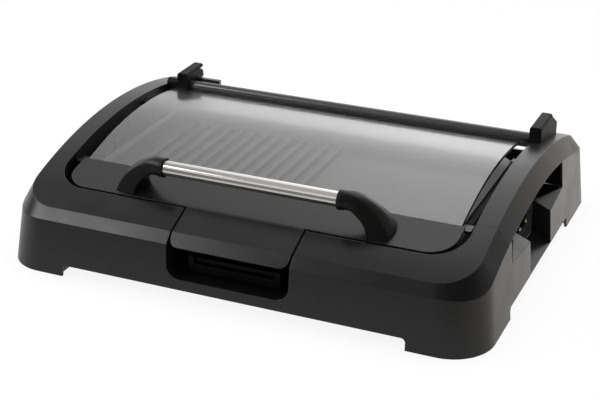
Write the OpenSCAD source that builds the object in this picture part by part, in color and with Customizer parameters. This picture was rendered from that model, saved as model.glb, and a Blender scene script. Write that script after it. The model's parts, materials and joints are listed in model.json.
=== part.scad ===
// Electric indoor grill with a hinged glass lid, a drip tray and a plug-in heater inlet.
// X runs from left to right, Y from front to rear, Z up. The feet stand on Z = 0.

/* [Base shell] */
// Width of the base across its feet
base_w = 560; // [520:1:620]
// Depth of the base from front to rear
base_d = 424.4; // [400:0.1:460]
// Radius of the front corners at the floor
front_corner_r = 48; // [40:1:56]
// Radius of the rear corners
rear_corner_r = 6; // [4:0.5:8]
// Wall thickness of the plastic shells
wall = 3; // [2.5:0.1:3.5]
// How far the side walls lean in between the floor and the chamfer
side_draft = 7.5; // [5:0.1:9]
// How far the front wall leans in between the floor and the chamfer
front_draft = 6.7; // [5:0.1:9]
// How far the rear wall leans in
rear_draft = 2; // [1:0.1:3]
// Height of the top edge of the rear wall between the arms
rear_wall_top = 55; // [48:1:62]

/* [Arched top] */
// Radius of the arch that the top surface follows
arch_r = 540; // [520:1:600]
// Height of the crest of the arch
arch_top = 118; // [116:0.5:124]
// Distance of the crest behind the middle of the base
arch_y = 21.6; // [10:0.1:30]
// Width of the side chamfer seen from above
chamfer_w = 12.2; // [9:0.1:14]
// Drop of the side chamfer below the arch
chamfer_drop = 20; // [16:0.1:22]
// Width of the front chamfer seen from above
front_chamfer_w = 11; // [9:0.1:13]
// Height of the front chamfer's lower edge
front_chamfer_z = 62; // [60:0.5:64]
// Height of the side chamfer's lower edge at the rear corner
rear_chamfer_z = 70; // [66:0.5:74]
// Corner radius of the chamfer's upper edge
top_corner_r = 40; // [34:1:46]

/* [Top opening] */
// Distance of the opening's sides from the sides of the base
open_side = 42.5; // [40:0.5:50]
// Front edge of the opening, measured from the front of the base
open_front = 50; // [46:0.5:54]
// Corner radius of the opening
open_r = 38; // [30:1:44]
// Thickness of the skirt that hangs from the edge of the opening
skirt_t = 2.5; // [2:0.1:3]
// Distance of the seam between front frame and arms from the front of the base
seam_front = 103.5; // [98:0.5:112]
// Width of that seam
seam_gap = 0.5; // [0.3:0.1:0.8]

/* [Feet] */
// Height of the raised lower edge between the feet
foot_h = 13; // [10:0.5:16]
// Width of each foot seen from the front
foot_w = 80; // [70:1:90]
// Length of each front foot seen from the side
front_foot_d = 104; // [90:1:115]
// Length of each rear foot seen from the side
rear_foot_d = 81; // [70:1:95]
// Radius where a foot meets the raised edge
foot_fillet_r = 5; // [3:0.5:8]
// Height of the rubber pads
pad_h = 4; // [3:0.5:6]
// Radius of the rubber pads
pad_r = 11; // [8:0.5:13]
// Thickness of the bottom cover
cover_t = 2.5; // [2:0.1:3]

/* [Front recess] */
// Width of the hand recess in the front wall
recess_w = 142; // [130:1:150]
// Height of the recess floor
recess_z = 25; // [23:0.5:27]
// Radius of the lower corners of the recess
recess_r = 16; // [12:0.5:18]
// Gap on each side of the lid's tongue in the recess
tongue_gap = 2.2; // [1.5:0.1:3]

/* [Side openings] */
// Front end of the side opening, measured from the middle of the base
side_front = 96; // [90:1:98]
// Rear end of the side opening, measured from the middle of the base
side_rear = 113; // [105:1:116]
// Height of the outer sill at the front end
sill_front_z = 58.4; // [56:0.1:62]
// Height of the outer sill at the rear end
sill_rear_z = 58.8; // [56:0.1:62]
// Height of the outer sill beside the notch
sill_notch_z = 53; // [50:0.1:56]
// Height of the inner edge of the sill beside the notch
sill_inner_z = 62; // [60:0.1:66]
// Depth of the sill beside the notch
sill_depth = 15; // [12:0.5:18]
// Middle of the notch for the plug, behind the middle of the base
notch_y = 14.5; // [10:0.5:18]
// Length of the notch for the plug
notch_l = 85; // [76:1:92]

/* [Grill plate] */
// Distance of the plate's rim from the sides of the base
plate_side = 64; // [62:0.5:68]
// Depth of the grill plate over its rim
plate_d = 254; // [246:1:256]
// Middle of the plate, in front of the middle of the base
plate_front = 16; // [15:0.5:18]
// Height of the plate's rim
plate_top = 85.5; // [85:0.1:86]
// Thickness of the rim
plate_rim_t = 3; // [2.5:0.1:3.5]
// Width of the rim outside the tub
plate_rim_w = 7; // [6:0.5:8]
// Thickness of the cooking floor
plate_floor_t = 4; // [3:0.1:5]
// Height of the cooking floor's top face
plate_floor_z = 70; // [69:0.5:71]
// Pitch of the ridges
ridge_pitch = 16.3; // [14:0.1:20]
// Number of ridges
ridge_n = 13; // [8:1:13]
// Width of a ridge
ridge_w = 6; // [4:0.5:7]
// Height of a ridge
ridge_h = 5; // [3:0.5:6]
// Radius of the drain hole
drain_r = 6; // [4:0.5:8]
// Gap between the tub of the plate and the reflector pan
pan_gap = 2.5; // [2:0.1:4]
// Thickness of the reflector pan
pan_t = 1.5; // [1:0.1:2]
// Height of the underside of the reflector pan
pan_z = 46; // [46:0.5:48]
// Width of the reflector pan's flange
pan_flange_w = 10; // [9:0.5:11]
// Radius of the posts under the reflector pan
post_r = 6; // [5:0.5:8]

/* [Heater] */
// Diameter of the heating tube
heater_d = 8; // [6.5:0.1:8.5]
// Height of the axis of the heating tube
heater_z = 59; // [58:0.5:60]
// Distance of the heating loop's ends from the sides of the tub
heater_side = 29; // [23:0.5:45]
// Depth of the heating loop along Y
heater_l = 176; // [172:1:190]
// Bend radius of the heating loop
heater_bend_r = 25; // [20:1:30]
// Distance between the two cold ends
heater_end_pitch = 20; // [18:0.5:24]
// Height of the axis of the plug contacts
inlet_z = 50; // [49:0.5:51]
// Distance between the two contact pins
pin_pitch = 24; // [22:0.5:28]
// Diameter of a contact pin
pin_d = 4.8; // [4:0.1:6]
// Length of a contact pin outside its block
pin_l = 26; // [20:0.5:28]
// Outer diameter of the probe sleeve
sleeve_d = 7.2; // [6.5:0.1:9]
// Bore of the probe sleeve
sleeve_bore = 5.2; // [4:0.1:6]
// Length of the terminal block along X
block_l = 18; // [14:0.5:20]
// Depth of the terminal block along Y
block_w = 48; // [44:0.5:50]
// Height of the terminal block
block_h = 25; // [24:0.5:26]
// Wall of the shroud round the contacts
shroud_t = 2; // [1.5:0.1:2.5]

/* [Drip tray] */
// Width of the drip tray
tray_w = 108; // [100:1:112]
// Depth of the drip tray
tray_d = 246; // [200:1:250]
// Height of the drip tray's walls
tray_h = 16; // [12:0.5:16]
// Thickness of the drip tray's sheet
tray_t = 1.2; // [1:0.1:2]
// Height of the tray's underside
tray_z = 27; // [27:0.5:28]
// Distance of the tray's front behind the front of the base
tray_front = 22; // [20:0.5:30]
// Thickness of the tray's pull
pull_t = 4; // [3:0.5:6]
// Height of the tray's pull at its ends
pull_h = 19; // [17:0.5:20]
// Running gap beside and under the tray
tray_gap = 0.3; // [0.3:0.05:0.6]
// Width of a tray rail
rail_w = 14; // [12:0.5:16]
// Thickness of the upright guide on a rail
guide_t = 3; // [2:0.5:4]
// Height of the upright guide above the tray's underside
guide_h = 7; // [5:0.5:9]

/* [Lid] */
// Radius of the curved glass
glass_r = 430; // [425:1:450]
// Height of the crest of the glass
glass_top = 116.8; // [116.5:0.1:117]
// Distance of the crest of the glass behind the middle of the base
glass_y = 25; // [22:0.5:28]
// Thickness of the glass
glass_t = 4; // [3:0.1:4.5]
// How far the glass stays behind the front panel on each side
glass_side = 4.8; // [3:0.1:6]
// Rear edge of the black front panel, in front of the middle of the base
panel_rear = 108; // [104:0.5:110]
// Step from the panel's rear edge down to the glass
panel_step = 1.3; // [0.8:0.1:1.8]
// Thickness of the front panel
panel_t = 3; // [2.5:0.1:3]
// Gap between the front panel and the opening on each side
panel_side = 11; // [9.5:0.1:12.5]
// Corner radius of the front panel
panel_r = 30; // [24:1:34]
// Gap between the panel's front edge and the frame
panel_gap = 2.7; // [1.5:0.1:3.2]
// Length of the lip at the end of the tongue, measured along its slope
lip_l = 17; // [15:0.5:18]
// Radius of the lip's lower corners
lip_r = 9; // [6:0.5:12]
// Width of the ears beside the glass
ear_w = 7; // [6:0.5:8]
// Length of an ear
ear_l = 9; // [7:0.5:11]
// Width of the strip that holds the glass from below, where it lies under the front panel
retainer_w = 12; // [10:0.5:14]
// Width of its lip that reaches under the glass
retainer_lap = 3; // [2:0.5:6]
// Thickness of that strip
retainer_t = 2.5; // [2:0.1:3]

/* [Hinge] */
// Distance of the hinge axis behind the middle of the base
hinge_y = 116.5; // [115:0.5:118]
// Height of the hinge axis
hinge_z = 111.6; // [111:0.1:112]
// Radius of the lid's rear bar
bar_r = 6; // [5.5:0.1:6.5]
// Depth of the clamp under the rear bar
clamp_d = 10.5; // [9:0.5:12]
// Underside of the clamp under the rear bar
clamp_z = 101.5; // [100.5:0.1:102]
// Width of the hinge block and of the lid's left bracket
block_x = 14; // [12:0.5:15]
// How far the inner face of the right hinge block stands inside the opening
block_in = 3.5; // [2.5:0.1:4.5]
// How far the lid's left bracket stands inside the opening
bracket_in = 18.5; // [16:0.5:20]
// Front face of the lid's left bracket behind the middle of the base
bracket_front = 104; // [103:0.5:106]
// Length of the lid's left bracket
bracket_len = 44; // [36:1:48]
// Thickness of the cap on the bracket and the hinge block
cap_t = 2.7; // [2:0.1:3.5]
// Radius of the rounded upper edges of the bracket and the hinge block
cap_r = 3; // [1.5:0.5:4]
// Front face of the hinge block behind the middle of the base
block_front = 104; // [103:0.5:106]
// Length of the hinge block's flat top
block_top_l = 50; // [44:1:54]
// Length of the hinge block
block_len = 75; // [70:1:80]
// Height of the hinge block's top
block_top = 130; // [128:0.5:134]
// Height of the hinge block's rear corner
block_rear_z = 111; // [108:0.5:116]
// Depth of the hinge block below the arch
block_sink = 14; // [12:0.5:16]
// Radius of the hinge pins
hinge_pin_r = 3; // [2.5:0.1:3.5]
// Radial clearance of the hinge pins in their blocks
hinge_clear = 0.05; // [0.03:0.01:0.08]
// Length of a hinge pin inside its block
pin_in_block = 10; // [8:0.5:11]
// Length of a hinge pin inside the bar
pin_in_bar = 16; // [12:0.5:20]
// Length of the stop bar behind the rear bar
stop_l = 31; // [24:1:40]
// Height of the stop bar
stop_h = 7; // [5:0.5:8]
// Thickness of the stop bar
stop_t = 5; // [3:0.5:6]

/* [Handle] */
// Diameter of the steel handle tube
tube_d = 16.5; // [14:0.1:18]
// Wall of the handle tube
tube_wall = 1.5; // [1:0.1:2]
// Distance of the tube's axis behind the front of the base
tube_front = 66.2; // [64.2:0.1:70.2]
// Height of the tube's axis
tube_z = 121; // [118:0.5:124]
// Length of the tube that shows
tube_show = 203; // [180:1:210]
// Length of each tube end inside its bracket
tube_in = 10; // [8:0.5:12]
// Wall of the bracket round the tube
socket_wall = 2.4; // [2:0.1:3]
// Distance between the middles of the two bracket feet
bracket_pitch = 300; // [292:1:306]

/* [Hidden] */
eps = 0.01;
far = 700;
end_gap = 1;
socket_in = 6;
fine = 256;
black = [0.10, 0.10, 0.11];
dark = [0.18, 0.18, 0.19];
steel = [0.80, 0.79, 0.77];
half_w = base_w / 2;
front_y = -base_d / 2;
rear_y = base_d / 2;
arch_z0 = arch_top - arch_r;
side_x = half_w - side_draft;
edge_x = side_x - chamfer_w;
low_y = front_y + front_draft;
edge_y = low_y + front_chamfer_w;
open_y = front_y + open_front;
open_w = base_w - 2 * open_side;
plate_w = base_w - 2 * plate_side;
panel_w = open_w - 2 * panel_side;
glass_w = panel_w - 2 * glass_side;
block_face = open_w / 2 - block_in;
bracket_face = open_w / 2 - bracket_in - block_x;
bar_left = bracket_face + socket_in;
bar_right = block_face - end_gap;
seam_y = front_y + seam_front;
crease_y = side_rear;
corner_steps = 18;
side_steps = 20;
cover_z = foot_h;
deck_z = cover_z + cover_t;
recess_hw = recess_w / 2;
tongue_hw = recess_hw - tongue_gap;
notch_a = notch_y - notch_l / 2;
notch_b = notch_y + notch_l / 2;
sill_x = side_x - 2 - sill_depth;
plate_y = -plate_front;
plate_under = plate_top - plate_rim_t;
tub_w = plate_w - 2 * plate_rim_w;
tub_d = plate_d - 2 * plate_rim_w;
tub_r = 12;
heater_w = tub_w - 2 * heater_side;
pan_w = tub_w + 2 * (pan_gap + pan_t);
pan_d = tub_d + 2 * (pan_gap + pan_t);
pan_floor = pan_z + pan_t;
pan_right = pan_w / 2;
heater_r = heater_d / 2;
inlet_y = notch_y;
tray_y = front_y + tray_front;
glass_z0 = glass_top - glass_r;
glass_front = -panel_rear;
panel_rear_z = glass_at(glass_front, glass_r) + panel_step;
glass_rear = hinge_y - 1;
panel_front = open_y + panel_gap;
panel_front_z = arch_at(panel_front);
tube_r = tube_d / 2;
tube_y = base_d / 2 - tube_front;
socket_r = tube_r + socket_wall;
bracket_x = bracket_pitch / 2;

// Height of the arch at a depth y
function arch_at(y) = arch_z0 + sqrt(arch_r * arch_r - (y - arch_y) * (y - arch_y));

// Height of the glass's top face at a depth y
function glass_at(y, r) = glass_z0 + sqrt(r * r - (y - glass_y) * (y - glass_y));

// Outer face of the side wall at a height z
function wall_x(z) = half_w - side_draft * z / (arch_top - chamfer_drop);

// Value between a and b
function mix(a, b, t) = a + (b - a) * t;

// Height of the chamfer's lower edge at depth y, where turn is 0 on the side and 1 on the front
function low_edge_z(y, turn) =
  turn >= 1 ? front_chamfer_z :
  turn > 0 ? mix(arch_at(y) - chamfer_drop, front_chamfer_z, turn) :
  y <= crease_y ? arch_at(y) - chamfer_drop :
  mix(arch_at(crease_y) - chamfer_drop, rear_chamfer_z, (y - crease_y) / (rear_y - crease_y));

// Right half of a base outline from rear to front, each point with its turn round the front corner
function half_outline(hx, yf, yr, rf, rr) = concat(
  [for (i = [3:-1:0]) [hx - rr + rr * cos(30 * i), yr - rr + rr * sin(30 * i), 0]],
  [for (i = [1:side_steps]) [hx, mix(yr - rr, yf + rf, i / (side_steps + 1)), 0]],
  [for (i = [0:corner_steps]) let (a = 90 * i / corner_steps)
    [hx - rf + rf * cos(a), yf + rf - rf * sin(a), sin(a)]]);

// Whole outline, clockwise seen from above
function outline(hx, yf, yr, rf, rr) = let (h = half_outline(hx, yf, yr, rf, rr), n = len(h))
  concat(h, [for (i = [n - 1:-1:0]) [-h[i][0], h[i][1], h[i][2]]]);

// Solid bounded by the drafted walls and the chamfers, closed above the arch
module body_loft(inset, floor_z) {
  low = outline(side_x - inset, low_y + inset, rear_y - rear_draft - inset, front_corner_r, rear_corner_r);
  high = outline(edge_x - inset, edge_y + inset, rear_y - rear_draft - inset, top_corner_r, rear_corner_r);
  base = outline(half_w - inset, front_y + inset, rear_y - inset, front_corner_r, rear_corner_r);
  grow = 0.3;
  n = len(low);
  ring_a = [for (p = base) [p[0], p[1], floor_z]];
  ring_b = [for (p = low) [p[0], p[1], low_edge_z(p[1], p[2]) - inset / 2]];
  ring_c = [for (i = [0:n - 1]) let (q = [high[i][0], high[i][1], arch_at(high[i][1]) - inset / 2])
    q + grow * (q - ring_b[i])];
  ring_d = [for (p = ring_c) [p[0], p[1], arch_top + chamfer_drop]];
  sides = [for (k = [0:2], i = [0:n - 1], s = [0, 1]) let (j = (i + 1) % n)
    s == 0 ? [k * n + i, k * n + j, (k + 1) * n + j] : [k * n + i, (k + 1) * n + j, (k + 1) * n + i]];
  polyhedron(points = concat(ring_a, ring_b, ring_c, ring_d),
    faces = concat([[for (i = [n - 1:-1:0]) i]], sides, [[for (i = [0:n - 1]) 3 * n + i]]));
}

// Cylinder along X on the arch's axis
module arch_roll(r) {
  translate([-far / 2, arch_y, arch_z0])
    rotate([0, 90, 0])
      cylinder(r = r, h = far, $fn = fine);
}

// Cylinder along X on the glass's axis
module glass_roll(r, w) {
  translate([-w / 2, glass_y, glass_z0])
    rotate([0, 90, 0])
      cylinder(r = r, h = w, $fn = fine);
}

// Profile in Y and Z, drawn out along X about the middle
module along_x(w) {
  rotate([90, 0, 90])
    linear_extrude(height = w, center = true)
      children();
}

// Profile in X and Z, drawn out along Y from y0 to y1
module along_y(y0, y1) {
  translate([0, y1, 0])
    rotate([90, 0, 0])
      linear_extrude(height = y1 - y0)
        children();
}

// Rectangle with rounded corners about the middle
module round_rect(w, d, r) {
  square([w - 2 * r, d], center = true);
  square([w, d - 2 * r], center = true);
  for (sx = [-1, 1], sy = [-1, 1])
    translate([sx * (w / 2 - r), sy * (d / 2 - r)])
      circle(r = r, $fn = 48);
}

// Plate with rounded corners, standing on z0
module slab(w, d, r, z0, h) {
  translate([0, plate_y, z0])
    linear_extrude(height = h)
      round_rect(w, d, r);
}

// Outline of the top opening, grown by g
module opening_2d(g) {
  hx = open_w / 2 + g;
  r = open_r + g;
  y0 = open_y - g;
  translate([-hx, y0 + r])
    square([2 * hx, far]);
  translate([-hx + r, y0])
    square([2 * (hx - r), r + 1]);
  for (s = [-1, 1])
    translate([s * (hx - r), y0 + r])
      circle(r = r, $fn = 96);
}

// Outer form of the whole base
module outer_body() {
  intersection() {
    body_loft(0, 0);
    arch_roll(arch_r);
  }
}

// Skirt that hangs from the edge of the opening
module skirt() {
  difference() {
    intersection() {
      linear_extrude(height = far)
        difference() {
          opening_2d(skirt_t);
          opening_2d(0);
        }
      outer_body();
    }
    arch_roll(arch_r - chamfer_drop);
  }
}

// Hollow shell of the whole base with its skirt, open at the top and below
module full_shell() {
  difference() {
    outer_body();
    intersection() {
      body_loft(wall, -1);
      arch_roll(arch_r - wall);
    }
    translate([0, 0, rear_wall_top])
      linear_extrude(height = far)
        opening_2d(0);
  }
  skirt();
}

// Space of both arms: all that lies above the chamfer's lower edge behind the seam
module arm_space(gap) {
  difference() {
    translate([-far / 2, seam_y + gap, 0])
      cube([far, far, far]);
    arch_roll(arch_r - chamfer_drop);
  }
}

// Profile of the right hinge block in Y and Z
module block_2d() {
  y1 = block_front + block_top_l;
  polygon([
    [block_front, arch_at(block_front) - block_sink],
    [block_front, block_top],
    [y1, block_top],
    [y1, block_top - cap_t],
    [y1 - 1, block_top - cap_t],
    [block_front + block_len, block_rear_z],
    [block_front + block_len, arch_at(block_front + block_len) - block_sink]]);
}

// Slab of width w between the rounded upper edges, seen from the front
module cap_2d(w) {
  translate([-w / 2, 0])
    square([w, block_top - cap_r]);
  translate([-w / 2 + cap_r, 0])
    square([w - 2 * cap_r, block_top]);
  for (s = [-1, 1])
    translate([s * (w / 2 - cap_r), block_top - cap_r])
      circle(r = cap_r, $fn = 32);
}

// Right hinge block as a solid
module block_solid() {
  translate([block_face + block_x / 2, 0, 0])
    intersection() {
      along_x(block_x)
        block_2d();
      along_y(0, far)
        cap_2d(block_x);
    }
}

// Rounded slot between the feet, seen from the front or the side
module foot_slot_2d(a, b) {
  translate([a, -1])
    square([b - a, foot_h + 1 - foot_fillet_r]);
  translate([a + foot_fillet_r, -1])
    square([b - a - 2 * foot_fillet_r, foot_h + 1]);
  for (p = [a + foot_fillet_r, b - foot_fillet_r])
    translate([p, foot_h - foot_fillet_r])
      circle(r = foot_fillet_r, $fn = 32);
}

// Cuts that leave four feet under the walls
module foot_slots() {
  along_y(-far / 2, far / 2)
    foot_slot_2d(-half_w + foot_w, half_w - foot_w);
  along_x(far)
    foot_slot_2d(front_y + front_foot_d, rear_y - rear_foot_d);
}

// Front recess seen from the front, grown by g
module recess_2d(g) {
  hw = recess_hw + g;
  z0 = recess_z - g;
  r = recess_r + g;
  translate([-hw, z0 + r])
    square([2 * hw, far]);
  translate([-hw + r, z0])
    square([2 * (hw - r), r + 1]);
  for (s = [-1, 1])
    translate([s * (hw - r), z0 + r])
      circle(r = r, $fn = 64);
}

// Lining of the front recess, open to the front, the rear and the top
module recess_lining() {
  intersection() {
    along_y(front_y, open_y)
      difference() {
        recess_2d(skirt_t);
        recess_2d(0);
      }
    body_loft(wall / 2, 0);
    arch_roll(arch_r - wall / 2);
  }
}

// Side opening seen from the right, with the notch where the plug enters
module side_opening_2d() {
  polygon([[side_rear, far / 2], [-side_front, far / 2], [-side_front, sill_front_z], [notch_a, sill_notch_z],
    [notch_a, -1], [notch_b, -1], [notch_b, sill_notch_z], [side_rear, sill_rear_z]]);
}

// Sill inside the side wall, one triangle in plan, from the far end to the notch
module sill_wedge(y_far, z_far, y_near) {
  in = 0.6;
  plan = [[wall_x(z_far) - in, y_far, z_far], [wall_x(sill_notch_z) - in, y_near, sill_notch_z],
    [sill_x, y_near, sill_inner_z]];
  turn = y_far < y_near ? [0, 1, 2] : [2, 1, 0];
  low = [for (k = turn) [plan[k][0], plan[k][1], deck_z]];
  high = [for (k = turn) plan[k]];
  polyhedron(points = concat(low, high),
    faces = [[0, 1, 2], [5, 4, 3], [0, 3, 4, 1], [1, 4, 5, 2], [2, 5, 3, 0]]);
}

// Sloping floor of the notch
floor_in = 10;
floor_rise = 8;
module notch_floor() {
  x1 = wall_x(foot_h) - 0.2;
  along_y(notch_a, notch_b)
    polygon([[sill_x, deck_z], [x1 - floor_in, deck_z], [x1 - floor_in, foot_h], [x1, foot_h],
      [x1, foot_h + 0.8], [sill_x, deck_z + floor_rise]]);
}

// Wells that carry the rubber pads at the four corners
module foot_wells() {
  for (sx = [-1, 1], rear = [false, true]) {
    d = rear ? rear_foot_d : front_foot_d;
    y0 = rear ? rear_y - d : front_y;
    intersection() {
      body_loft(wall - 0.5, 0);
      difference() {
        translate([sx > 0 ? half_w - foot_w : -half_w, y0, pad_h])
          cube([foot_w, d, foot_h - pad_h]);
        translate([sx > 0 ? half_w - foot_w + cover_t : -half_w - eps, rear ? y0 + cover_t : y0 - eps,
            pad_h + cover_t])
          cube([foot_w - cover_t + eps, d - cover_t + eps, foot_h]);
      }
    }
  }
}

// Places of the screws that hold the bottom cover
boss_in = 40;
boss_front = 70;
boss_mid = 32;
boss_rear = 55;
screw_x = half_w - boss_in;
screw_places = [for (sx = [-1, 1], y = [front_y + boss_front, notch_a - boss_mid, rear_y - boss_rear]) [sx * screw_x, y]];
screw_r = 1.5;
screw_head_r = 3.2;
screw_head_h = 2;
boss_r = 5;
boss_h = 24;

// Columns inside the housing that take the cover's screws, with the ribs that tie them to the walls
module cover_bosses() {
  for (p = screw_places) {
    s = sign(p[0]);
    difference() {
      union() {
        translate([p[0], p[1], deck_z])
          cylinder(r = boss_r, h = boss_h, $fn = 32);
        translate([s > 0 ? p[0] : -wall_x(deck_z) + wall / 2, p[1] - wall / 2, deck_z])
          cube([wall_x(deck_z) - wall / 2 - screw_x - 2, wall, boss_h]);
      }
      translate([p[0], p[1], deck_z - 1])
        cylinder(r = screw_r, h = boss_h - 4, $fn = 24);
    }
  }
}

module base_housing() {
  color(black) {
    difference() {
      full_shell();
      arm_space(0);
      foot_slots();
      along_y(-far, open_y + skirt_t + eps)
        recess_2d(0);
      translate([side_x + far / 4 - 30, 0, 0])
        along_x(far / 2)
          side_opening_2d();
    }
    recess_lining();
    foot_wells();
    cover_bosses();
    sill_wedge(-side_front, sill_front_z, notch_a);
    sill_wedge(side_rear, sill_rear_z, notch_b);
    notch_floor();
  }
}

// Arm on one side, s is -1 on the left and 1 on the right
module arm(s) {
  color(dark)
    difference() {
      intersection() {
        full_shell();
        arm_space(seam_gap);
        translate([s > 0 ? 0 : -far, -far, 0])
          cube([far, 2 * far, far]);
      }
      if (s > 0)
        block_solid();
    }
}

module left_arm() {
  arm(-1);
}

module right_arm() {
  arm(1);
}

// Rows of air slots in the bottom cover
vent_l = 60;
vent_w = 4;
vent_pitch = 12;
vent_n = 7;

module bottom_cover() {
  color(black)
    difference() {
      intersection() {
        body_loft(wall + 0.3, 0);
        translate([-half_w, front_y, cover_z])
          cube([base_w, base_d, cover_t]);
      }
      for (sx = [-1, 1], k = [0:vent_n - 1])
        translate([sx * base_w / 4 - vent_l / 2, (k - (vent_n - 1) / 2) * vent_pitch, 0])
          cube([vent_l, vent_w, 2 * deck_z]);
      for (p = screw_places)
        translate([p[0], p[1], 0])
          cylinder(r = screw_r + 0.4, h = 2 * deck_z, $fn = 24);
      translate([wall_x(foot_h) - floor_in - 0.4, notch_a, 0])
        cube([far, notch_l, 2 * deck_z]);
    }
}

module cover_screws() {
  color(steel)
    for (p = screw_places)
      translate([p[0], p[1], cover_z - screw_head_h]) {
        cylinder(r = screw_head_r, h = screw_head_h, $fn = 32);
        cylinder(r = screw_r, h = screw_head_h + cover_t + boss_h / 2, $fn = 24);
      }
}

// Middles of the four rubber pads
pad_x = half_w - foot_w / 2;
pad_front_y = front_y + foot_w / 2 + 6;
pad_rear_y = rear_y - rear_foot_d / 2;

module foot_pads() {
  color(dark)
    for (sx = [-1, 1], y = [pad_front_y, pad_rear_y])
      translate([sx * pad_x, y, 0])
        cylinder(r = pad_r, h = pad_h, $fn = 48);
}

// Post places under the reflector pan
post_x = 150;
post_y = 90;

module reflector_pan() {
  color(steel)
    difference() {
      union() {
        slab(pan_w, pan_d, tub_r + pan_gap + pan_t, pan_z, plate_under - pan_z);
        slab(pan_w + 2 * pan_flange_w, pan_d + 6, tub_r + pan_gap + pan_t, plate_under - pan_t, pan_t);
      }
      slab(pan_w - 2 * pan_t, pan_d - 2 * pan_t, tub_r + pan_gap, pan_floor, far);
      translate([drain_x, drain_y, pan_z - 1])
        cylinder(r = drain_r + 4, h = 2 * pan_t + 2, $fn = 48);
      for (s = [-1, 1])
        translate([0, inlet_y + s * heater_end_pitch / 2, heater_z])
          rotate([0, 90, 0])
            cylinder(r = heater_r + 0.3, h = far, $fn = 32);
    }
}

module pan_posts() {
  color(steel)
    for (sx = [-1, 1], sy = [-1, 1])
      translate([sx * post_x, plate_y + sy * post_y, deck_z])
        cylinder(r = post_r, h = pan_z - deck_z, $fn = 32);
}

// Ridges start at the left, the drain hole lies in the flat half
ridge_side = 26;
ridge_end = 17;
ridge_x0 = -tub_w / 2 + ridge_side;
ridge_l = tub_d - 2 * ridge_end;
drain_x = 38;
drain_in = 16;
drain_y = plate_y - tub_d / 2 + drain_in;

module grill_plate() {
  color(black)
    difference() {
      union() {
        difference() {
          union() {
            slab(tub_w, tub_d, tub_r, plate_floor_z - plate_floor_t, plate_top - plate_floor_z + plate_floor_t);
            slab(plate_w, plate_d, tub_r + plate_rim_w, plate_under, plate_rim_t);
          }
          slab(tub_w - 2 * plate_rim_t, tub_d - 2 * plate_rim_t, tub_r - plate_rim_t, plate_floor_z, far);
        }
        for (i = [0:ridge_n - 1])
          translate([ridge_x0 + i * ridge_pitch, plate_y, plate_floor_z - 1])
            rotate([90, 0, 0])
              linear_extrude(height = ridge_l, center = true)
                polygon([[-ridge_w / 2, 0], [ridge_w / 2, 0], [ridge_w / 4, ridge_h + 1], [-ridge_w / 4, ridge_h + 1]]);
      }
      translate([drain_x, drain_y, 0])
        cylinder(r = drain_r, h = far, $fn = 48);
    }
}

// Straight stretch of heating tube from a to b in the plane of the heater
module heater_run(a, b) {
  d = b - a;
  translate([a[0], a[1], heater_z])
    rotate([0, 0, atan2(d[1], d[0])])
      rotate([0, 90, 0])
        cylinder(r = heater_r, h = norm(d), $fn = 32);
}

// Bend of heating tube about c, from angle a over a quarter turn
module heater_bend(c, r, a) {
  translate([c[0], c[1], heater_z])
    rotate([0, 0, a])
      rotate_extrude(angle = 90, $fn = 64)
        translate([r, 0])
          circle(r = heater_r, $fn = 32);
}

// Ends of the loop along X and half the distance between its cold ends
loop_right = heater_w / 2 + 8;
loop_left = loop_right - heater_w;
end_half = heater_end_pitch / 2;
end_bend = 12;
end_x = loop_right + end_bend;
block_x0 = pan_right;

// One half of the heating loop, reach is its distance from the inlet to its long side
module heater_half(reach) {
  r = heater_bend_r;
  heater_run([end_x, -end_half], [block_x0 + block_l - 4, -end_half]);
  heater_bend([end_x, -end_half - end_bend], end_bend, 90);
  heater_run([loop_right, -end_half - end_bend], [loop_right, -reach + r]);
  heater_bend([loop_right - r, -reach + r], r, 270);
  heater_run([loop_right - r, -reach], [loop_left + r, -reach]);
  heater_bend([loop_left + r, -reach + r], r, 180);
  heater_run([loop_left, -reach + r], [loop_left, 0]);
}

module heating_element() {
  color([0.25, 0.25, 0.26])
    translate([0, inlet_y, 0]) {
      heater_half(inlet_y - plate_y + heater_l / 2);
      mirror([0, 1, 0])
        heater_half(plate_y - inlet_y + heater_l / 2);
    }
}

clamp_x = 110;
clamp_w = 10;
saddle_d = 14;

module element_clamps() {
  color(steel)
    difference() {
      for (sx = [-1, 1], sy = [-1, 1])
        translate([sx * clamp_x - clamp_w / 2, plate_y + sy * heater_l / 2 - saddle_d / 2, pan_floor])
          cube([clamp_w, saddle_d, heater_z - pan_floor]);
      for (sy = [-1, 1])
        translate([-far / 2, plate_y + sy * heater_l / 2, heater_z])
          rotate([0, 90, 0])
            cylinder(r = heater_r, h = far, $fn = 32);
    }
}

module terminal_block() {
  color([0.9, 0.88, 0.82])
    difference() {
      translate([block_x0, inlet_y - block_w / 2, inlet_z - 8])
        cube([block_l, block_w, block_h]);
      for (s = [-1, 1]) {
        translate([block_x0 - 1, inlet_y + s * end_half, heater_z])
          rotate([0, 90, 0])
            cylinder(r = heater_r, h = block_l - 3, $fn = 32);
        translate([block_x0 + block_l - 6, inlet_y + s * pin_pitch / 2, inlet_z])
          rotate([0, 90, 0])
            cylinder(r = pin_d / 2 + shank_more, h = far, $fn = 32);
      }
      translate([block_x0 + block_l - 6, inlet_y, inlet_z])
        rotate([0, 90, 0])
          cylinder(r = sleeve_d / 2, h = far, $fn = 32);
    }
}

// How much thicker a pin is inside its block
shank_more = 0.8;

module terminal_pins() {
  color([0.85, 0.82, 0.7])
    for (s = [-1, 1])
      translate([block_x0 + block_l - 6, inlet_y + s * pin_pitch / 2, inlet_z])
        rotate([0, 90, 0]) {
          cylinder(r = pin_d / 2 + shank_more, h = 6, $fn = 32);
          cylinder(r = pin_d / 2, h = pin_l + 6 - pin_d / 4, $fn = 32);
          translate([0, 0, pin_l + 6 - pin_d / 4])
            cylinder(r1 = pin_d / 2, r2 = pin_d / 4, h = pin_d / 4, $fn = 32);
        }
}

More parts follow.
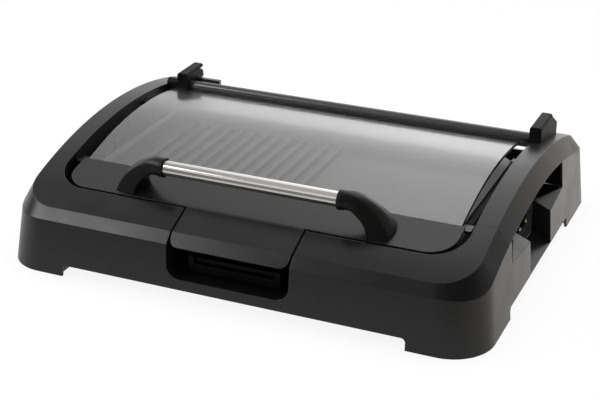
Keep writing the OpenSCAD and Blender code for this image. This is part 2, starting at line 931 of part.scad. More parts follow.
module probe_sleeve() {
  color(steel)
    translate([block_x0 + block_l - 6, inlet_y, inlet_z])
      rotate([0, 90, 0])
        difference() {
          cylinder(r = sleeve_d / 2, h = pin_l * 0.6 + 6, $fn = 32);
          translate([0, 0, 6])
            cylinder(r = sleeve_bore / 2, h = far, $fn = 32);
        }
}

module inlet_shroud() {
  color(black)
    difference() {
      translate([block_x0 + block_l - 8, inlet_y - block_w / 2 - shroud_t, inlet_z - 8 - shroud_t])
        cube([pin_l + 4, block_w + 2 * shroud_t, block_h + 2 * shroud_t]);
      translate([0, inlet_y - block_w / 2, inlet_z - 8])
        cube([far, block_w, block_h]);
    }
}

// Rail under the tray, s is -1 on the left and 1 on the right
module tray_rail(s) {
  outer = tray_w / 2 + tray_gap + guide_t;
  rail_y0 = open_y + skirt_t + 1;
  rail_d = tray_y + tray_d - rail_y0;
  color(dark) {
    translate([s > 0 ? outer - rail_w : -outer, rail_y0, deck_z])
      cube([rail_w, rail_d, tray_z - tray_gap - deck_z]);
    translate([s > 0 ? outer - guide_t : -outer, rail_y0, tray_z - tray_gap - 1])
      cube([guide_t, rail_d, guide_h + tray_gap + 1]);
  }
}

module tray_rail_left() {
  tray_rail(-1);
}

module tray_rail_right() {
  tray_rail(1);
}

// Bore for a hinge pin that starts at x and runs out to the side s
module pin_bore(x, s) {
  translate([s * x, hinge_y, hinge_z])
    rotate([0, s * 90, 0])
      cylinder(r = hinge_pin_r + hinge_clear, h = far, $fn = 32);
}

module hinge_block_right() {
  color(black)
    difference() {
      block_solid();
      translate([block_face - 1, hinge_y, hinge_z])
        rotate([0, 90, 0])
          cylinder(r = hinge_pin_r + hinge_clear, h = pin_in_block + 2, $fn = 32);
    }
}

// Lug on the inside of the left arm in which the lid's left pin runs
lug_face = glass_w / 2 + end_gap;
lug_r = 6;
lug_drop = 16;

module hinge_lug_left() {
  w = open_w / 2 - lug_face;
  color(black)
    difference() {
      translate([-lug_face - w, hinge_y, hinge_z])
        rotate([0, 90, 0]) {
          cylinder(r = lug_r, h = w, $fn = 48);
          translate([0, -lug_r, 0])
            cube([lug_drop, 2 * lug_r, w]);
        }
      pin_bore(lug_face - 1, -1);
    }
}

// Profile of the lid's left bracket in Y and Z, its underside follows the glass and its heel
// is cut away so that it passes behind the grill plate when the lid is open
heel_l = 25;
heel_up = 1.8;
module lid_bracket_2d() {
  y0 = bracket_front;
  y1 = bracket_front + bracket_len;
  yg = glass_rear + 0.3;
  low = clamp_z + 1.5;
  polygon([
    [y0, glass_at(y0, glass_r) + 0.3],
    [y0, block_top],
    [y1, block_top],
    [y1, block_top - cap_t],
    [y1 - 9, block_top - cap_t - 1.3],
    [y1 - 3, block_top - cap_t - 3.5],
    [y1 - 0.6, block_top - cap_t - 6.5],
    [y1, block_top - cap_t - 10],
    [y1, hinge_z + heel_up],
    [hinge_y + heel_l, hinge_z + heel_up],
    [hinge_y + heel_l - 5, low],
    [yg, low],
    [yg, glass_at(yg, glass_r) + 0.3]]);
}

module lid_bracket_left() {
  color(black)
    difference() {
      translate([-bracket_face - block_x / 2, 0, 0])
        intersection() {
          along_x(block_x)
            lid_bracket_2d();
          along_y(0, far)
            cap_2d(block_x);
        }
      translate([-bar_left, hinge_y, hinge_z])
        rotate([0, 90, 0]) {
          cylinder(r = bar_r, h = far, $fn = 64);
          translate([0, 0, -far / 2])
            cylinder(r = hinge_pin_r, h = far, $fn = 32);
        }
      translate([-bar_left, hinge_y - clamp_d / 2, clamp_z])
        cube([far, clamp_d, hinge_z - clamp_z]);
    }
}

// Short bar that stands out of the bracket behind the rear bar
stop_y = hinge_y + 17;
stop_z = hinge_z - 2.3;

module stop_bar() {
  color(black)
    translate([-bracket_face, stop_y - stop_t / 2, stop_z])
      cube([stop_l, stop_t, stop_h]);
}

rest_l = 10;
rest_t = 3.5;
rest_rear_y = 45;
rest_front_y = seam_y + 3;
ear_y = glass_front - 6;
ear_z = panel_at(glass_front) - 2 - panel_t;

// Small ledge on the inside of each arm
module ledge(s, y, z, w) {
  translate([s > 0 ? open_w / 2 - w : -open_w / 2, y, z - rest_t])
    cube([w, rest_l, rest_t]);
}

module lid_rest_pads() {
  color(dark)
    for (s = [-1, 1]) {
      ledge(s, rest_front_y, ear_z - 0.3, 8);
      ledge(s, rest_rear_y, arch_at(rest_rear_y) - 8, 8);
    }
}

// Height of the front panel's top face at a depth y
function panel_at(y) = mix(panel_rear_z, panel_front_z, (y + panel_rear) / (panel_front + panel_rear));

module drip_tray() {
  color(steel)
    difference() {
      translate([-tray_w / 2, tray_y + pull_t, tray_z])
        cube([tray_w, tray_d - pull_t, tray_h]);
      translate([-tray_w / 2 + tray_t, tray_y + pull_t + tray_t, tray_z + tray_t])
        cube([tray_w - 2 * tray_t, tray_d - pull_t - 2 * tray_t, tray_h]);
    }
}

pull_dip = 9;
pull_side = 7;

module tray_pull() {
  color(black)
    translate([0, tray_y + pull_t, tray_z])
      rotate([90, 0, 0])
        linear_extrude(height = pull_t)
          difference() {
            translate([-tray_w / 2, 0])
              square([tray_w, pull_h]);
            translate([-tray_w / 2 + pull_side, pull_h - pull_dip])
              square([tray_w - 2 * pull_side, pull_dip + 1]);
          }
}

// Curved sheet between two radii of the glass, from y0 to y1
module glass_sheet(r_out, r_in, w, y0, y1) {
  difference() {
    intersection() {
      glass_roll(r_out, w);
      translate([-w / 2, y0, 0])
        cube([w, y1 - y0, far]);
    }
    glass_roll(r_in, w + 2);
  }
}

module lid_glass() {
  color([0.75, 0.77, 0.78, 0.5])
    glass_sheet(glass_r, glass_r - glass_t, glass_w, glass_front, glass_rear);
}

// Slope of the lip, parallel to the front chamfer
lip_angle = atan2(panel_z(edge_y) - front_chamfer_z, edge_y - low_y);

function panel_z(y) = arch_at(y);

// Tongue in Y and Z: it follows the arch from the opening to the chamfer, then turns down as a lip
tongue_steps = 6;
tongue_top = [for (i = [0:tongue_steps]) let (y = mix(panel_front, edge_y, i / tongue_steps)) [y, arch_at(y)]];
lip_end = [edge_y - lip_l * cos(lip_angle), arch_at(edge_y) - lip_l * sin(lip_angle)];
lip_normal = [sin(lip_angle), -cos(lip_angle)];
skin_cut = [0.6, -1] * panel_t;

module tongue_2d() {
  polygon(concat(
    [[panel_front + 2, panel_at(panel_front + 2)]],
    tongue_top,
    [lip_end, lip_end + panel_t * lip_normal],
    [for (i = [tongue_steps:-1:0]) tongue_top[i] + skin_cut * 0.85],
    [[panel_front + 2, panel_at(panel_front + 2) - panel_t]]));
}

// Flat part of the front panel in Y and Z
module panel_2d() {
  y0 = panel_front;
  y1 = glass_front;
  polygon([[y0, panel_at(y0)], [y1, panel_at(y1)], [y1, panel_at(y1) - panel_t], [y0, panel_at(y0) - panel_t]]);
}

module lid_front_panel() {
  color(black)
    difference() {
      union() {
        intersection() {
          along_x(panel_w)
            panel_2d();
          linear_extrude(height = far)
            translate([0, panel_front])
              union() {
                translate([0, far / 2 + panel_r])
                  square([panel_w, far], center = true);
                translate([-panel_w / 2 + panel_r, 0])
                  square([panel_w - 2 * panel_r, panel_r + 1]);
                for (s = [-1, 1])
                  translate([s * (panel_w / 2 - panel_r), panel_r])
                    circle(r = panel_r, $fn = 64);
              }
        }
        intersection() {
          along_x(2 * tongue_hw)
            tongue_2d();
          along_y(-far, far)
            union() {
              translate([-tongue_hw, lip_end[1] + lip_r])
                square([2 * tongue_hw, far]);
              translate([-tongue_hw + lip_r, 0])
                square([2 * (tongue_hw - lip_r), far]);
              for (s = [-1, 1])
                translate([s * (tongue_hw - lip_r), lip_end[1] + lip_r])
                  circle(r = lip_r, $fn = 48);
            }
        }
        for (s = [-1, 1])
          translate([s > 0 ? glass_w / 2 + 0.5 : -panel_w / 2 - ear_w, ear_y, ear_z])
            cube([ear_w + (panel_w - glass_w) / 2 - 0.5, ear_l + 6, panel_t]);
      }
      for (s = [-1, 1])
        translate([s * bracket_x, handle_screw_y, 0])
          cylinder(r = screw_r + 0.4, h = far, $fn = 24);
    }
}

retainer_screw_x = [-150, -50, 50, 150];

module glass_retainer() {
  color(dark)
    union() {
      glass_sheet(glass_r - glass_t, glass_r - glass_t - retainer_t, glass_w, glass_front, glass_front + retainer_lap);
      along_x(glass_w)
        polygon([[glass_front, retainer_z - retainer_t], [glass_front, panel_at(glass_front) - panel_t],
          [retainer_y, panel_at(retainer_y) - panel_t], [retainer_y, retainer_z - retainer_t]]);
    }
}
retainer_y = glass_front - retainer_w;
retainer_z = glass_at(glass_front, glass_r - glass_t);

module retainer_screws() {
  color(steel)
    for (x = retainer_screw_x)
      translate([x, glass_front - retainer_w / 2, retainer_z - retainer_t - screw_head_h])
        cylinder(r = screw_head_r, h = screw_head_h, $fn = 32);
}

module lid_rear_bar() {
  color(black)
    difference() {
      union() {
        translate([-bar_left, hinge_y, hinge_z])
          rotate([0, 90, 0])
            cylinder(r = bar_r, h = bar_left + bar_right, $fn = 64);
        translate([-bar_left, hinge_y - clamp_d / 2, clamp_z])
          cube([bar_left + bar_right, clamp_d, hinge_z - clamp_z]);
      }
      glass_sheet(glass_r, glass_r - glass_t, glass_w, glass_front, glass_rear);
      for (e = [[-1, bar_left], [1, bar_right]])
        translate([e[0] * (e[1] - pin_in_bar), hinge_y, hinge_z])
          rotate([0, e[0] * 90, 0])
            cylinder(r = hinge_pin_r, h = far, $fn = 32);
    }
}

module hinge_pin_left() {
  color(steel)
    translate([-bar_left + pin_in_bar, hinge_y, hinge_z])
      rotate([0, -90, 0])
        cylinder(r = hinge_pin_r, h = pin_in_bar + lug_face - bar_left + pin_in_block, $fn = 32);
}

module hinge_pin_right() {
  color(steel)
    translate([bar_right - pin_in_bar, hinge_y, hinge_z])
      rotate([0, 90, 0])
        cylinder(r = hinge_pin_r, h = pin_in_bar + end_gap + pin_in_block, $fn = 32);
}

// Screws that hold the brackets from below, a little in front of the tube
handle_screw_y = -tube_y - 2.5;
handle_screw_l = 16;
handle_screw_z = panel_at(handle_screw_y - screw_head_r) - panel_t - screw_head_h - 0.1;

// Middle of the arch that each bracket follows, seen from the front
collar_l = 3.5;
collar_more = 0.2;
arm_rise = 37;
arm_x = tube_show / 2 + collar_l;
arm_z = tube_z - arm_rise;
arm_widen = 4.65;
arm_flare = 2 * (bracket_x - arm_x - arm_rise) - arm_widen;
arm_steps = 26;
arm_end = -12;

// Smooth step from 0 to 1
function ease(t) = let (c = min(1, max(0, t))) c * c * (3 - 2 * c);

// Outer and inner radius of the arch at an angle a above the panel
function arm_out(a) = arm_rise + socket_r + arm_flare * pow(max(0, 1 - a / 60), 1.5);
function arm_in(a) = arm_rise - socket_r + arm_widen * ease((90 - a) / 25);

// Front and rear face of a bracket at a share u of the way from tube to panel
waist_u = 0.42;
waist_front = 7;
arm_deepen = 17;
function arm_front(u) = -tube_y - waist_front - (socket_r - waist_front) * pow((u - waist_u) / waist_u, 2);
function arm_rear(u) = -tube_y + socket_r + arm_deepen * u;

// Section of a bracket, round at the tube and a rounded block at the panel, as [radius, y]
section_n = 6;
edge_r = 1;
edge_flat = 0.3;
crown_h = 3;
face_slant = 2.5;
function arm_section(u) =
  let (a = mix(90, arm_end, u), k = ease(u / 0.4),
    hr = (arm_out(a) - arm_in(a)) / 2, hy = (arm_rear(u) - arm_front(u)) / 2,
    rc = arm_in(a) + hr, yc = arm_front(u) + hy, r = mix(min(hr, hy) - edge_flat, edge_r, k),
    corners = [for (q = [0:3], i = [0:section_n]) let (t = 90 * (q + i / section_n))
      [(hr - r) * (q == 0 || q == 3 ? 1 : -1) + r * cos(t), (hy - r) * (q < 2 ? 1 : -1) + r * sin(t)]],
    face = [for (f = [-0.6, -0.2, 0.2, 0.6]) [hr, f * (hy - r)]])
  [for (p = concat(corners, face))
    [rc + p[0] - (p[0] > 0 ? k * crown_h * (p[0] / hr) * pow(p[1] / hy, 2) : 0),
      yc + p[1] + (p[1] < 0 ? k * face_slant * (p[0] / hr) : 0)]];

// Arm of a bracket, swept from the tube round to below the panel
module bracket_arm() {
  n = 4 * (section_n + 1) + 4;
  points = [for (i = [0:arm_steps]) let (u = i / arm_steps, a = mix(90, arm_end, u))
    for (p = arm_section(u)) [arm_x + p[0] * cos(a), p[1], arm_z + p[0] * sin(a)]];
  sides = [for (i = [0:arm_steps - 1], j = [0:n - 1], h = [0, 1]) let (m = (j + 1) % n)
    h == 0 ? [i * n + j, (i + 1) * n + m, (i + 1) * n + j] : [i * n + j, i * n + m, (i + 1) * n + m]];
  polyhedron(points = points,
    faces = concat([[for (j = [n - 1:-1:0]) j]], sides, [[for (j = [0:n - 1]) arm_steps * n + j]]));
}

// Handle bracket for the right side, mirrored for the left
module bracket() {
  x0 = tube_show / 2;
  difference() {
    union() {
      bracket_arm();
      translate([x0, -tube_y, tube_z])
        rotate([0, 90, 0])
          cylinder(r = socket_r + collar_more, h = collar_l + 1, $fn = 48);
    }
    translate([x0 - 1, -tube_y, tube_z])
      rotate([0, 90, 0])
        cylinder(r = tube_r, h = tube_in + 1, $fn = 48);
    translate([0, -panel_rear, panel_rear_z])
      rotate([atan2(panel_rear_z - panel_front_z, -panel_rear - panel_front), 0, 0])
        translate([0, -far / 2, -far])
          cube([far, far, far]);
    translate([bracket_x, handle_screw_y, 0])
      cylinder(r = screw_r, h = handle_screw_z + handle_screw_l, $fn = 24);
  }
}

module handle_bracket_left() {
  color(black)
    mirror([1, 0, 0])
      bracket();
}

module handle_bracket_right() {
  color(black)
    bracket();
}

module handle_tube() {
  color(steel)
    translate([-tube_show / 2 - tube_in, -tube_y, tube_z])
      rotate([0, 90, 0])
        difference() {
          cylinder(r = tube_r, h = tube_show + 2 * tube_in, $fn = 64);
          translate([0, 0, -1])
            cylinder(r = tube_r - tube_wall, h = tube_show + 2 * tube_in + 2, $fn = 64);
        }
}

module handle_screws() {
  color(steel)
    for (s = [-1, 1])
      translate([s * bracket_x, handle_screw_y, handle_screw_z]) {
        cylinder(r = screw_head_r, h = screw_head_h, $fn = 32);
        cylinder(r = screw_r, h = handle_screw_l, $fn = 24);
      }
}

base_housing();
left_arm();
right_arm();
bottom_cover();
cover_screws();
foot_pads();
reflector_pan();
pan_posts();
grill_plate();
heating_element();
element_clamps();
terminal_block();
terminal_pins();
probe_sleeve();
inlet_shroud();
tray_rail_left();
tray_rail_right();
hinge_lug_left();
hinge_block_right();
lid_rest_pads();
drip_tray();
tray_pull();
lid_glass();
lid_front_panel();
glass_retainer();
retainer_screws();
lid_rear_bar();
lid_bracket_left();
stop_bar();
hinge_pin_left();
hinge_pin_right();
handle_bracket_left();
handle_bracket_right();
handle_tube();
handle_screws();
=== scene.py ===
"""Looks of the electric indoor grill: materials, smooth walls, floor, studio, lamps and camera."""

import json
import math

import bpy
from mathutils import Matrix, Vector

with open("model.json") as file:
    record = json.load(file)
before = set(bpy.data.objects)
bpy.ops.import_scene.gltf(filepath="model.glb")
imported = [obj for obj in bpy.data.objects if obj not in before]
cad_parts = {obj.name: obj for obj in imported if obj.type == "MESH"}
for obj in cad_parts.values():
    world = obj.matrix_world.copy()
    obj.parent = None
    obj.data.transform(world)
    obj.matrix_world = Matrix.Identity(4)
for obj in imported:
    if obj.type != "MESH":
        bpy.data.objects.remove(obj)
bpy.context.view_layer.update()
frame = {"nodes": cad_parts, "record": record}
scene = bpy.context.scene
nodes = frame["nodes"]


# Shader helpers

NOISE_ROUGH = 0.55
NOISE_LOW = 0.3
NOISE_HIGH = 0.7
EDGE_SAMPLES = 6


def new_material(name):
    """Empty material, with its tree and its output node."""
    mat = bpy.data.materials.new(name)
    mat.use_nodes = True
    tree = mat.node_tree
    tree.nodes.clear()
    out = tree.nodes.new("ShaderNodeOutputMaterial")
    return mat, tree, out


def coords(tree, scale=(1, 1, 1)):
    """Object coordinates, multiplied by a scale along each axis."""
    source = tree.nodes.new("ShaderNodeTexCoord")
    mapping = tree.nodes.new("ShaderNodeMapping")
    mapping.inputs["Scale"].default_value = scale
    tree.links.new(source.outputs["Object"], mapping.inputs["Vector"])
    return mapping.outputs["Vector"]


def split(tree, vector):
    """X, Y and Z of a vector."""
    node = tree.nodes.new("ShaderNodeSeparateXYZ")
    tree.links.new(vector, node.inputs["Vector"])
    return node.outputs["X"], node.outputs["Y"], node.outputs["Z"]


def noise(tree, vector, scale, detail=3.0):
    """Grey noise around one half."""
    node = tree.nodes.new("ShaderNodeTexNoise")
    node.inputs["Scale"].default_value = scale
    node.inputs["Detail"].default_value = detail
    node.inputs["Roughness"].default_value = NOISE_ROUGH
    tree.links.new(vector, node.inputs["Vector"])
    return node.outputs["Fac"]


def remap(tree, value, to_min, to_max, from_min=NOISE_LOW, from_max=NOISE_HIGH):
    """Value brought from one range to another and held at both ends."""
    node = tree.nodes.new("ShaderNodeMapRange")
    node.inputs["From Min"].default_value = from_min
    node.inputs["From Max"].default_value = from_max
    node.inputs["To Min"].default_value = to_min
    node.inputs["To Max"].default_value = to_max
    tree.links.new(value, node.inputs["Value"])
    return node.outputs["Result"]


def tint(tree, share, first, second):
    """Colour between two colours."""
    mix = tree.nodes.new("ShaderNodeMix")
    mix.data_type = "RGBA"
    mix.inputs["A"].default_value = (*first, 1)
    mix.inputs["B"].default_value = (*second, 1)
    tree.links.new(share, mix.inputs["Factor"])
    return mix.outputs["Result"]


def bump(tree, height, strength, distance, normal=None):
    """Normal shaken by a height, on top of another normal where one is given."""
    node = tree.nodes.new("ShaderNodeBump")
    node.inputs["Strength"].default_value = strength
    node.inputs["Distance"].default_value = distance
    tree.links.new(height, node.inputs["Height"])
    if normal is not None:
        tree.links.new(normal, node.inputs["Normal"])
    return node.outputs["Normal"]


def rounded(tree, radius):
    """Normal that softens sharp edges."""
    node = tree.nodes.new("ShaderNodeBevel")
    node.samples = EDGE_SAMPLES
    node.inputs["Radius"].default_value = radius
    return node.outputs["Normal"]


def math_node(tree, operation, first, second):
    """Product, sum or other step on two sockets or numbers."""
    node = tree.nodes.new("ShaderNodeMath")
    node.operation = operation
    for socket, value in zip(node.inputs, (first, second)):
        if isinstance(value, (int, float)):
            socket.default_value = value
        else:
            tree.links.new(value, socket)
    return node.outputs[0]


def mix_shader(tree, share, first, second):
    """Shader between two shaders."""
    mix = tree.nodes.new("ShaderNodeMixShader")
    tree.links.new(share, mix.inputs["Fac"])
    tree.links.new(first, mix.inputs[1])
    tree.links.new(second, mix.inputs[2])
    return mix.outputs["Shader"]


def light_path(tree):
    """Glossy rays, and the rays of the camera and through glass."""
    path = tree.nodes.new("ShaderNodeLightPath").outputs
    seen = math_node(tree, "MAXIMUM", path["Is Camera Ray"], path["Is Transmission Ray"])
    return path["Is Glossy Ray"], seen


def shade(color, factor):
    """Colour times a factor, at most 1."""
    return tuple(min(1.0, part * factor) for part in color)


# Materials. Lengths are in metres.

PLASTIC_TONES = (0.86, 1.14)
PLASTIC_CLOUD = 22
PLASTIC_BUMP = 0.35
PLASTIC_GRAIN_HEIGHT = 0.00006
METAL_TONES = (0.9, 1.08)
METAL_CLOUD = 30
METAL_BUMP = 0.3
METAL_LINE_HEIGHT = 0.00003
SMOOTHER = -0.04
ROUGHER = 0.05


def plastic(name, color, rough, grain=900, edge=0.0008, spec=0.5):
    """Moulded plastic: fine grain, a slow change of tone and gloss, and softened edges."""
    mat, tree, out = new_material(name)
    vector = coords(tree)
    fine = noise(tree, vector, grain, detail=2.0)
    cloud = noise(tree, vector, PLASTIC_CLOUD, detail=4.0)
    surface = tree.nodes.new("ShaderNodeBsdfPrincipled")
    dark, light = [shade(color, tone) for tone in PLASTIC_TONES]
    tree.links.new(tint(tree, remap(tree, cloud, 0, 1), dark, light), surface.inputs["Base Color"])
    tree.links.new(remap(tree, cloud, rough + SMOOTHER, rough + ROUGHER), surface.inputs["Roughness"])
    surface.inputs["Specular IOR Level"].default_value = spec
    normal = bump(tree, fine, PLASTIC_BUMP, PLASTIC_GRAIN_HEIGHT, rounded(tree, edge))
    tree.links.new(normal, surface.inputs["Normal"])
    tree.links.new(surface.outputs["BSDF"], out.inputs["Surface"])
    return mat


def metal(name, color, rough, scale=(1, 1, 1), grain=700, edge=0.0005):
    """Sheet or drawn metal: fine lines, closer together along axes of a larger scale, and uneven polish."""
    mat, tree, out = new_material(name)
    line = noise(tree, coords(tree, scale), grain)
    cloud = noise(tree, coords(tree), METAL_CLOUD)
    surface = tree.nodes.new("ShaderNodeBsdfPrincipled")
    dark, light = [shade(color, tone) for tone in METAL_TONES]
    tree.links.new(tint(tree, remap(tree, line, 0, 1), dark, light), surface.inputs["Base Color"])
    tree.links.new(remap(tree, cloud, rough + SMOOTHER, rough + ROUGHER), surface.inputs["Roughness"])
    surface.inputs["Metallic"].default_value = 1.0
    soft_edge = rounded(tree, edge) if edge else None
    normal = bump(tree, line, METAL_BUMP, METAL_LINE_HEIGHT, soft_edge)
    tree.links.new(normal, surface.inputs["Normal"])
    tree.links.new(surface.outputs["BSDF"], out.inputs["Surface"])
    return mat


GLASS_COLOR = (0.905, 0.905, 0.905, 1)
GLASS_SHADOW = (0.75, 0.76, 0.77, 1)
GLASS_IOR = 1.85
GLASS_ROUGH = (0.01, 0.035)
SMEAR_SCALE = 9
SMEAR_BUMP = 0.03
SMEAR_HEIGHT = 0.0002
HAZE_ROUGH = 0.14
# Share of the glass's depth, from its middle to the rear, over which the haze grows
HAZE_RUN = 0.3


def glass(name, node):
    """Tempered glass with a faint smear and a haze along its rear. It casts a light shadow."""
    mat, tree, out = new_material(name)
    vector = coords(tree)
    smear = noise(tree, vector, SMEAR_SCALE, detail=4.0)
    surface = tree.nodes.new("ShaderNodeBsdfPrincipled")
    surface.inputs["Base Color"].default_value = GLASS_COLOR
    surface.inputs["Transmission Weight"].default_value = 1.0
    surface.inputs["IOR"].default_value = GLASS_IOR
    depths = [corner[1] for corner in nodes[node].bound_box]
    front, back = min(depths), max(depths)
    middle = (front + back) / 2
    depth = split(tree, vector)[1]
    haze = remap(tree, depth, 0.0, HAZE_ROUGH, middle, middle + HAZE_RUN * (back - front))
    clean = remap(tree, smear, *GLASS_ROUGH)
    tree.links.new(math_node(tree, "ADD", clean, haze), surface.inputs["Roughness"])
    tree.links.new(bump(tree, smear, SMEAR_BUMP, SMEAR_HEIGHT), surface.inputs["Normal"])
    clear = tree.nodes.new("ShaderNodeBsdfTransparent")
    clear.inputs["Color"].default_value = GLASS_SHADOW
    shadow = tree.nodes.new("ShaderNodeLightPath").outputs["Is Shadow Ray"]
    both = mix_shader(tree, shadow, surface.outputs["BSDF"], clear.outputs["BSDF"])
    tree.links.new(both, out.inputs["Surface"])
    return mat


mats = {
    "housing_plastic": plastic("housing_plastic", (0.0052, 0.0052, 0.0056), 0.28),
    "arm_plastic": plastic("arm_plastic", (0.0095, 0.0095, 0.0105), 0.34),
    "cover_plastic": plastic("cover_plastic", (0.004, 0.004, 0.0043), 0.55, spec=0.08),
    "hinge_plastic": plastic("hinge_plastic", (0.005, 0.005, 0.0053), 0.52, spec=0.16),
    "handle_plastic": plastic("handle_plastic", (0.0055, 0.0053, 0.0050), 0.33, spec=0.25),
    "panel_plastic": plastic("panel_plastic", (0.0085, 0.0082, 0.0085), 0.27),
    "lid_glass": glass("lid_glass", "lid_glass"),
    "plate_coating": plastic("plate_coating", (0.022, 0.022, 0.023), 0.36, 1400, edge=0.0012, spec=0.75),
    # Painted shade: the pan gets a near-black tone for the shade inside the housing
    "pan_steel": plastic("pan_steel", (0.004, 0.004, 0.004), 0.45, spec=0.12),
    "heater_sheath": metal("heater_sheath", (0.16, 0.16, 0.17), 0.38, edge=0),
    # Painted shade: the tray's near-black tone stands for the shade inside the front recess
    "tray_metal": metal("tray_metal", (0.012, 0.012, 0.012), 0.35, (1, 8, 1)),
    "rail_metal": plastic("rail_metal", (0.012, 0.012, 0.012), 0.45),
    "bar_metal": plastic("bar_metal", (0.030, 0.030, 0.031), 0.22, spec=1.0),
    "handle_steel": metal("handle_steel", (0.82, 0.80, 0.77), 0.08, (1, 30, 30), 260, edge=0),
    "screw_steel": metal("screw_steel", (0.66, 0.66, 0.67), 0.22),
    "contact_metal": metal("contact_metal", (0.50, 0.47, 0.42), 0.3, edge=0),
    "terminal_ceramic": plastic("terminal_ceramic", (0.30, 0.29, 0.26), 0.6),
    "foot_rubber": plastic("foot_rubber", (0.02, 0.02, 0.02), 0.7),
}


# Smooth shading of curved walls, with edges kept sharp where they really are

SHARP_ANGLE = math.radians(18)
WELD_DISTANCE = 0.00002


def smoothing_group():
    """Modifier tree that joins a mesh at its seams and shades it smooth, except at its sharp edges."""
    tree = bpy.data.node_groups.new("smooth_walls", "GeometryNodeTree")
    tree.interface.new_socket("Geometry", in_out="INPUT", socket_type="NodeSocketGeometry")
    tree.interface.new_socket("Geometry", in_out="OUTPUT", socket_type="NodeSocketGeometry")
    start = tree.nodes.new("NodeGroupInput")
    end = tree.nodes.new("NodeGroupOutput")
    drop = tree.nodes.new("GeometryNodeRemoveAttribute")
    drop.inputs["Name"].default_value = "custom_normal"
    weld = tree.nodes.new("GeometryNodeMergeByDistance")
    weld.inputs["Distance"].default_value = WELD_DISTANCE
    faces = tree.nodes.new("GeometryNodeSetShadeSmooth")
    faces.domain = "FACE"
    angle = tree.nodes.new("GeometryNodeInputMeshEdgeAngle")
    flat = tree.nodes.new("FunctionNodeCompare")
    flat.data_type = "FLOAT"
    flat.operation = "LESS_THAN"
    flat.inputs["B"].default_value = SHARP_ANGLE
    edges = tree.nodes.new("GeometryNodeSetShadeSmooth")
    edges.domain = "EDGE"
    tree.links.new(start.outputs[0], drop.inputs["Geometry"])
    tree.links.new(drop.outputs["Geometry"], weld.inputs["Geometry"])
    tree.links.new(weld.outputs["Geometry"], faces.inputs["Geometry"])
    tree.links.new(faces.outputs["Geometry"], edges.inputs["Geometry"])
    tree.links.new(angle.outputs["Unsigned Angle"], flat.inputs["A"])
    tree.links.new(flat.outputs["Result"], edges.inputs["Shade Smooth"])
    tree.links.new(edges.outputs["Geometry"], end.inputs[0])
    return tree


smooth_walls = smoothing_group()
for part in frame["record"]["subparts"]:
    piece = nodes[part["node"]]
    piece.data.materials.clear()
    piece.data.materials.append(mats[part["material_slot"]])
    smooth = piece.modifiers.new("smooth_walls", "NODES")
    smooth.node_group = smooth_walls


# Floor

FLOOR_CORNERS = [(-9, -9, 0), (9, -9, 0), (9, 9, 0), (-9, 9, 0)]
FLOOR_GREYS = ((0.90, 0.90, 0.90), (0.92, 0.92, 0.92))
FLOOR_CLOUD = 3.0
# Share of plain glow in what the camera, glass and reflections see. The rest takes light and shadow.
FLOOR_SEEN = 0.90
# In reflections the floor carries a painted shade in front of the object, fading to white at its rear
FLOOR_REFLECTED_SHADE = 0.1
FLOOR_DARK_Y = -0.75
FLOOR_LIGHT_Y = 0.15
# In reflections its colour goes from white to a painted warm light towards the right
FLOOR_WARM_LIGHT = (0.92, 0.86, 0.78)
FLOOR_WHITE_X = 0.1
FLOOR_WARM_X = 0.5


def floor_material():
    """White floor; in reflections it carries a painted shade in front of the object and a painted warm
    light at its right.
    """
    mat, tree, out = new_material("floor_white")
    vector = coords(tree)
    x, y, _ = split(tree, vector)
    glossy, seen = light_path(tree)
    matt = tree.nodes.new("ShaderNodeBsdfDiffuse")
    cloud = noise(tree, vector, FLOOR_CLOUD)
    tree.links.new(tint(tree, cloud, *FLOOR_GREYS), matt.inputs["Color"])
    glow = tree.nodes.new("ShaderNodeEmission")
    # Painted warm light, seen only in reflections, growing towards the right
    warm_light_ramp = remap(tree, x, 0.0, 1.0, FLOOR_WHITE_X, FLOOR_WARM_X)
    warm = math_node(tree, "MULTIPLY", glossy, warm_light_ramp)
    tree.links.new(tint(tree, warm, (1, 1, 1), FLOOR_WARM_LIGHT), glow.inputs["Color"])
    # Painted shade: in reflections the floor glows dimly in front of the object and fully at its rear
    reflected_shade_ramp = remap(tree, y, FLOOR_REFLECTED_SHADE, 1.0, FLOOR_DARK_Y, FLOOR_LIGHT_Y)
    tree.links.new(math_node(tree, "MAXIMUM", seen, reflected_shade_ramp), glow.inputs["Strength"])
    share = math_node(tree, "MULTIPLY", math_node(tree, "MAXIMUM", seen, glossy), FLOOR_SEEN)
    both = mix_shader(tree, share, matt.outputs["BSDF"], glow.outputs["Emission"])
    tree.links.new(both, out.inputs["Surface"])
    return mat


floor_mesh = bpy.data.meshes.new("floor")
floor_mesh.from_pydata(FLOOR_CORNERS, [], [(0, 1, 2, 3)])
floor_mesh.materials.append(floor_material())
floor = bpy.data.objects.new("floor", floor_mesh)
scene.collection.objects.link(floor)


# Studio walls as reflections see them. The turn is 0 in front, 0.5 overhead and 1 behind.

WALLS = [(0.0, 0.27), (0.03, 0.14), (0.11, 0.14), (0.125, 0.56), (0.235, 0.56), (0.27, 0.32), (0.58, 0.33),
         (0.66, 0.70), (0.82, 0.70), (0.90, 1.0), (1.0, 1.0)]
# Strength of a wall of level 1 in reflections. The camera and glass see a plain white of strength 1.
WALL_GAIN = 1.8
# Strength of the world's light on matt surfaces
DIFFUSE_LEVEL = 0.35
# The walls are darker far at the left, in front except at the left, and far at the right
LEFT_LEVEL = 0.50
LEFT_X = (-0.50, -0.28)
RIGHT_LEVEL = 0.15
RIGHT_X = (-0.36, -0.22)
REAR_TURN = (0.50, 0.62)
FAR_RIGHT_LEVEL = 0.2
FAR_RIGHT_X = (0.15, 0.42)


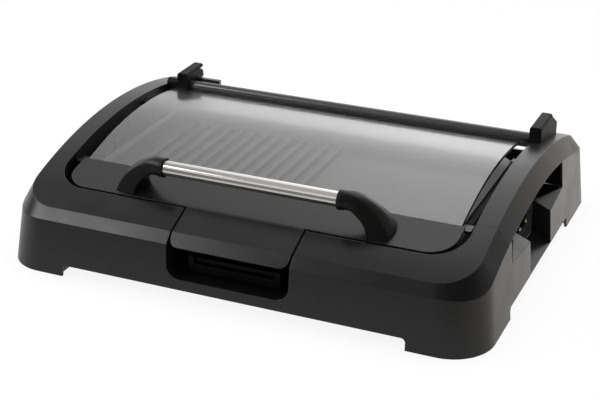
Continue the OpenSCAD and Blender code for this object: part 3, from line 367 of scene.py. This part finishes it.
def wall_ramp(tree, turn):
    """Level of the walls at a turn."""
    ramp = tree.nodes.new("ShaderNodeValToRGB")
    ramp.color_ramp.elements[0].position = WALLS[0][0]
    ramp.color_ramp.elements[1].position = WALLS[-1][0]
    for place, _ in WALLS[1:-1]:
        ramp.color_ramp.elements.new(place)
    for element, (_, level) in zip(ramp.color_ramp.elements, WALLS):
        element.color = (level, level, level, 1)
    tree.links.new(turn, ramp.inputs["Fac"])
    return ramp.outputs["Color"]


def background(tree):
    """White background of strength 1."""
    node = tree.nodes.new("ShaderNodeBackground")
    node.inputs["Color"].default_value = (1, 1, 1, 1)
    return node


def studio_world():
    """Plain white for the camera and through glass, soft light on matt surfaces, walls in reflections."""
    world = bpy.data.worlds.new("studio")
    world.use_nodes = True
    tree = world.node_tree
    tree.nodes.clear()
    out = tree.nodes.new("ShaderNodeOutputWorld")
    x, y, z = split(tree, tree.nodes.new("ShaderNodeTexCoord").outputs["Generated"])
    front = math_node(tree, "MULTIPLY", y, -1.0)
    turn = math_node(tree, "DIVIDE", math_node(tree, "ARCTAN2", z, front), math.pi)
    left = remap(tree, x, LEFT_LEVEL, 1.0, *LEFT_X)
    right = remap(tree, x, 1.0, RIGHT_LEVEL, *RIGHT_X)
    rear = remap(tree, turn, 0.0, 1.0, *REAR_TURN)
    far_right = remap(tree, x, 1.0, FAR_RIGHT_LEVEL, *FAR_RIGHT_X)
    level = math_node(tree, "MULTIPLY", left, math_node(tree, "MAXIMUM", right, rear))
    level = math_node(tree, "MULTIPLY", level, far_right)
    walls = background(tree)
    tree.links.new(wall_ramp(tree, turn), walls.inputs["Color"])
    tree.links.new(math_node(tree, "MULTIPLY", level, WALL_GAIN), walls.inputs["Strength"])
    soft = background(tree)
    soft.inputs["Strength"].default_value = DIFFUSE_LEVEL
    white = background(tree)
    glossy, seen = light_path(tree)
    lit = mix_shader(tree, glossy, soft.outputs[0], walls.outputs[0])
    tree.links.new(mix_shader(tree, seen, lit, white.outputs[0]), out.inputs["Surface"])
    return world


scene.world = studio_world()


# Lamps

def lamp(name, place, target, size, power, in_gloss=False):
    """Softbox aimed at a target, unseen through glass, and seen in reflections only with in_gloss."""
    data = bpy.data.lights.new(name, "AREA")
    data.shape = "RECTANGLE"
    data.size, data.size_y = size
    data.energy = power
    box = bpy.data.objects.new(name, data)
    box.location = place
    box.rotation_euler = (Vector(target) - Vector(place)).to_track_quat("-Z", "Y").to_euler()
    box.visible_glossy = in_gloss
    box.visible_transmission = False
    scene.collection.objects.link(box)


lamp("top_box", (0.0, 0.5, 1.9), (0, 0, 0), (1.6, 1.0), 26)
lamp("left_box", (-1.28, -0.66, 1.14), (-0.1, -0.1, 0.05), (1.3, 0.80), 13.5, in_gloss=True)
lamp("right_box", (1.8, -0.3, 0.9), (0, 0, 0.05), (0.9, 0.9), 12)


# Camera

CAMERA_PLACE = (0.59647, -1.38793, 0.74229)
CAMERA_TILT = math.radians(65.04)
CAMERA_TURN = math.radians(23.47)
CAMERA_LENS = 85.9
CAMERA_SENSOR = 36.0

camera_data = bpy.data.cameras.new("camera")
camera_data.lens = CAMERA_LENS
camera_data.sensor_width = CAMERA_SENSOR
camera = bpy.data.objects.new("camera", camera_data)
camera.location = CAMERA_PLACE
camera.rotation_euler = (CAMERA_TILT, 0, CAMERA_TURN)
scene.collection.objects.link(camera)
scene.camera = camera

scene.view_settings.view_transform = "Standard"
